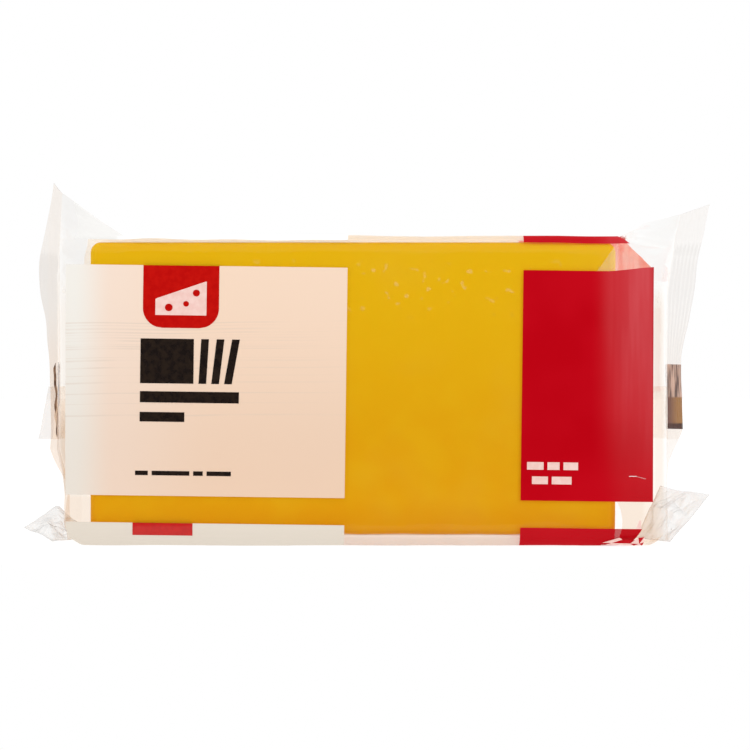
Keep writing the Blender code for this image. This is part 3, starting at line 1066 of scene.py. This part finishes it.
def make_panel_print(red, dark, pale):
    """Generic print on the panels: a tab with a wedge, a sliced block, and plain bars."""
    prints = [make_tab("print_tab", *TAB, red), make_bar("print_under_tab", *UNDER_TAB, red)]

    def wedge_left(level):
        rise = max(0.0, level - WEDGE_SIDE) / (WEDGE_HIGH - WEDGE_SIDE)
        return WEDGE_LEFT + (WEDGE_RIGHT - WEDGE_TIP - WEDGE_LEFT) * rise

    wedge = (WEDGE_LOW, WEDGE_HIGH, wedge_left, WEDGE_RIGHT)
    prints.append(make_print("print_wedge", *wedge, pale, SECOND_LIFT, 0.0003))
    for place, (x, y, radius) in enumerate(WEDGE_HOLES):
        prints.append(make_disc(f"print_hole_{place}", x, y, radius, red, THIRD_LIFT))
    prints.append(make_bar("print_block", DARK_LEFT, SLICED_RIGHT, *SLICED_LEVELS, dark))
    for place in range(3):
        left = SLICED_RIGHT + SLICE_GAP + place * SLICE_PITCH
        lean = 0.05 + 0.06 * place
        prints.append(make_bar(f"print_slice_{place}", left, left + SLICE_WIDTH, *SLICED_LEVELS, dark, lean))
    prints.append(make_bar("print_bar_long", *LONG_BAR, dark))
    prints.append(make_bar("print_bar_short", *SHORT_BAR, dark))
    prints += make_dashes("print_note", *NOTE_ROW, dark)
    prints += make_dashes("print_weight_high", *HIGH_WEIGHT_ROW, pale)
    prints += make_dashes("print_weight_low", *LOW_WEIGHT_ROW, pale)
    return prints


def make_fin_mark(name, share, seed, swing, half_width, low, high, lift, material):
    """A narrow wrinkled strip on the front of the left fin, between two heights.

    Its place and widths are shares of the fin's width, from 0 at its root to 1 at its cut edge.
    """

    def middle_at(level):
        return share + swing * (math.sin(level / 0.0021 + seed) + 0.5 * math.sin(level / 0.0009 + 2 * seed))

    levels = np.linspace(low, high, 40)
    middle = np.array([middle_at(level) for level in levels])
    narrow = half_width * np.clip(np.minimum(levels - low, high - levels) / 0.0015, 0.25, 1.0)
    place = middle[None, :] + np.linspace(-1.0, 1.0, 4)[:, None] * narrow[None, :]
    around = np.broadcast_to((levels - MIDDLE_HEIGHT)[None, :], place.shape)
    along = leave_x(around, False) - (GATHER_RUN + place * FIN_WIDTH)
    points, outward = film_points(along, around)
    return grid_object(name, points + outward * lift, [material])


def make_red_ends(red, pale):
    """Where the red panels run out at the right: above, seen from inside; below, cut on a slant."""
    steps = np.arange(TOP_RED_RIGHT + 0.0003, SHOULDER_SEARCH_END, 0.0002)

    def shoulder(level):
        points, _ = film_points(*flat_film(steps, np.full_like(steps, level)))
        past = points[:, 2] > np.interp(points[:, 0], SHOULDER_LINE_X, SHOULDER_LINE_Z)
        return steps[np.argmax(past)] if past.any() else steps[-1]

    def slant(level):
        return UNDER_RED_RIGHT + SLANT_WIDTH * limited((level - SLANT_LOW) / SLANT_HEIGHT)

    point = leaning(TOP_RED_RIGHT + POINT_WIDTH, -POINT_WIDTH / POINT_HEIGHT, TOP_PANEL_LOW)
    sliver = (leaning(SLIVER_LEFT, 0.35, UNDER_PANEL_HIGH), leaning(SLIVER_RIGHT, -0.05, UNDER_PANEL_HIGH))
    return [
        make_print("print_red_shoulder", SHOULDER_LOW, SHOULDER_HIGH, TOP_RED_RIGHT, shoulder, red, 0.0),
        make_print("print_red_point", TOP_PANEL_LOW, TOP_PANEL_LOW + POINT_HEIGHT, TOP_RED_RIGHT - 0.0002,
                   point, red, step=0.0003),
        make_print("print_red_slant", SLANT_LOW, UNDER_PANEL_HIGH, UNDER_RED_RIGHT - 0.0004, slant, red),
        make_print("print_sliver", UNDER_PANEL_HIGH, SLIVER_HIGH, *sliver, pale),
    ]


def make_glints(glint, light_veil):
    """Painted light caught by the film: a crescent past the cheese's end, a pale wash on its corner, a
    scratch.
    """

    def crescent(level):
        share = limited((PANEL_LOW - level) / CRESCENT_HEIGHT)
        return CRESCENT_X + CRESCENT_WIDTH * math.sin(math.pi * share) ** 0.6

    corner = leaning(CORNER_X, CORNER_WIDTH / (TOP_PANEL_LOW - PANEL_HIGH), TOP_PANEL_LOW)
    scratch = [leaning(side, -4.0, SCRATCH_HIGH) for side in (SCRATCH_LEFT, SCRATCH_RIGHT)]
    return [
        make_print("glint_crescent", UNDER_PANEL_HIGH, PANEL_LOW, GLINT_X, crescent, glint),
        make_print("glint_foot", PANEL_LOW - CRESCENT_HEIGHT, UNDER_PANEL_HIGH, GLINT_X, crescent, light_veil),
        make_print("glint_corner", PANEL_HIGH, TOP_PANEL_LOW, corner, GLINT_X, light_veil),
        make_print("glint_scratch", SCRATCH_LOW, SCRATCH_HIGH, *scratch, glint, GLINT_LIFT, FINE_PRINT_STEP),
        make_print("glint_scratch_tail", *SCRATCH_TAIL, glint, GLINT_LIFT, FINE_PRINT_STEP),
    ]


def make_fold(red, pale):
    """A crumpled scrap of red film at the lower right corner, its pale inner side out in part."""
    points = [(x / 1000, y / 1000, z / 1000) for x, y, z in FOLD_POINTS]
    mesh = make_mesh("red_fold", points, [facet for facet, _ in FOLD_FACETS], [red, pale])
    for polygon, (_, slot) in zip(mesh.polygons, FOLD_FACETS):
        polygon.material_index = slot
    return [add_object("red_fold", mesh), make_bar("print_fold_line", *FOLD_LINE, pale)]


def make_cheese(material):
    """The block: six faces with rounded edges."""
    sizes = (CHEESE_LENGTH, CHEESE_DEPTH, CHEESE_HEIGHT)
    mesh = bmesh.new()
    bmesh.ops.create_cube(mesh, size=1.0)
    for vertex in mesh.verts:
        vertex.co = [part * size for part, size in zip(vertex.co, sizes)]
    bmesh.ops.bevel(mesh, geom=mesh.edges[:], offset=CHEESE_EDGE, segments=7, profile=0.5, affect="EDGES")
    data = bpy.data.meshes.new("cheddar_block")
    mesh.to_mesh(data)
    mesh.free()
    data.materials.append(material)
    data.transform(Matrix.Translation((0, 0, CHEESE_FLOOR + CHEESE_HEIGHT / 2)))
    data.shade_smooth()
    return add_object("cheddar_block", data)


def make_floor():
    """A lit white table, which ends short of the camera."""
    material, g = make_material("studio_floor")
    glow = g.node("Emission")
    glow.inputs["Strength"].default_value = 0.9
    both = g.node("AddShader")
    g.feed(both.inputs[0], g.shader("Diffuse", (0.16, 0.16, 0.16)))
    g.feed(both.inputs[1], glow.outputs[0])
    g.show(both.outputs[0])
    sides = (-FLOOR_REACH, FLOOR_REACH)
    points = np.array([[(x, y, FLOOR_LEVEL) for y in (FLOOR_FRONT, FLOOR_REACH)] for x in sides])
    grid_object("studio_floor", points, [material])


def toward(g, direction, half_angle, soft_angle, inside, outside):
    """A light level that depends on how near the ray is to a direction, with a soft border."""
    dot = g.node("VectorMath")
    dot.operation = "DOT_PRODUCT"
    dot.inputs[1].default_value = Vector(direction).normalized()
    g.feed(dot.inputs[0], g.node("TexCoord").outputs["Generated"])
    edge_far = math.cos(math.radians(half_angle + soft_angle))
    edge_near = math.cos(math.radians(half_angle))
    return g.ramp(dot.outputs["Value"], edge_far, edge_near, outside, inside)


def make_world():
    """White light from all round, dark on the camera's side, brighter from the right in front."""
    world = bpy.data.worlds.new("studio")
    scene.world = world
    g = Graph(world)
    surround = g.node("Background")
    backdrop = g.node("Background")
    for background in (surround, backdrop):
        g.feed(background.inputs["Color"], WHITE)
    general = toward(g, DARK_SIDE, 20, 6, 0.0, SURROUND_LIGHT)
    box = toward(g, SOFT_BOX, 14, 8, SOFT_BOX_LIGHT, 0.0)
    g.feed(surround.inputs["Strength"], g.math("ADD", general, box))
    seen = g.node("LightPath").outputs["Is Camera Ray"]
    shader = g.blend(seen, surround.outputs[0], backdrop.outputs[0])
    g.feed(g.node("OutputWorld").inputs[0], shader)


def make_camera():
    data = bpy.data.cameras.new("camera")
    data.lens = CAMERA_LENS
    data.sensor_width = SENSOR_WIDTH
    data.clip_start = 0.05
    data.clip_end = 50.0
    camera = add_object("camera", data)
    camera.location = CAMERA_PLACE
    camera.rotation_euler = (math.pi / 2, 0, 0)
    scene.camera = camera


def main():
    make_camera()
    make_world()
    make_floor()
    scene.view_settings.view_transform = "Standard"
    scene.cycles.transparent_max_bounces = 24
    clear = film_material("clear_film", clear_tint_and_cheese_light, clear_haze_and_gap_light, (0.985, 0.965, 0.945), 0.05, 0.008, 0.45)
    sealed = film_material("sealed_film", sealed_tint_and_cheese_light, sealed_haze, (0.93, 0.91, 0.89), 0.12, 0.03, 0.8)
    crumpled = film_material("crumpled_film", crumpled_tint_and_shade, even_haze, (0.87, 0.86, 0.85), 0.08, 0.04, 0.8)
    glint = pale_film_material("film_glint", 0.88, WHITE, 0.1)
    # A fainter painted highlight: a pale wash of caught light.
    light_veil = pale_film_material("film_light_veil", 0.22)
    tan = pale_film_material("tan_mark", 0.6, (0.66, 0.47, 0.31))
    seal_end = pale_film_material("seal_end", 0.45, (0.8, 0.785, 0.77))
    white = ink_material("white_ink", white_ink_colour_and_light, white_ink_inside)
    red = ink_material("red_ink", red_ink_colour, red_ink_inside)
    red_print = flat_ink_material("red_print", (0.5, 0.004, 0.003), (0.55, 0.0065, 0.004))
    dark_print = flat_ink_material("dark_print", (0.012, 0.008, 0.007), (0.022, 0.014, 0.01))
    pale_print = flat_ink_material("pale_print", (0.88, 0.58, 0.52), (0.92, 0.66, 0.6))
    brown_print = flat_ink_material("brown_print", (0.145, 0.085, 0.06), (0.33, 0.22, 0.16))
    film = make_film([clear, white, red, sealed, mark_material()])
    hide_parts("cheddar_pack")
    pieces = [film, make_cheese(cheese_material()), make_back_seal(sealed, seal_end)]
    pieces.append(make_flap("right_flap", RIGHT_FLAP, crumpled, 101))
    pieces.append(make_flap("left_flap", LEFT_FLAP, crumpled, 211))
    pieces += make_panel_print(red_print, dark_print, pale_print)
    for mark in FIN_MARKS:
        pieces.append(make_fin_mark(*mark, tan if mark[0] == "mark_wide" else brown_print))
    pieces += make_red_ends(red, pale_print)
    pieces += make_glints(glint, light_veil)
    pieces += make_fold(red, pale_print)
    for piece in pieces:
        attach(piece, "root")


main()
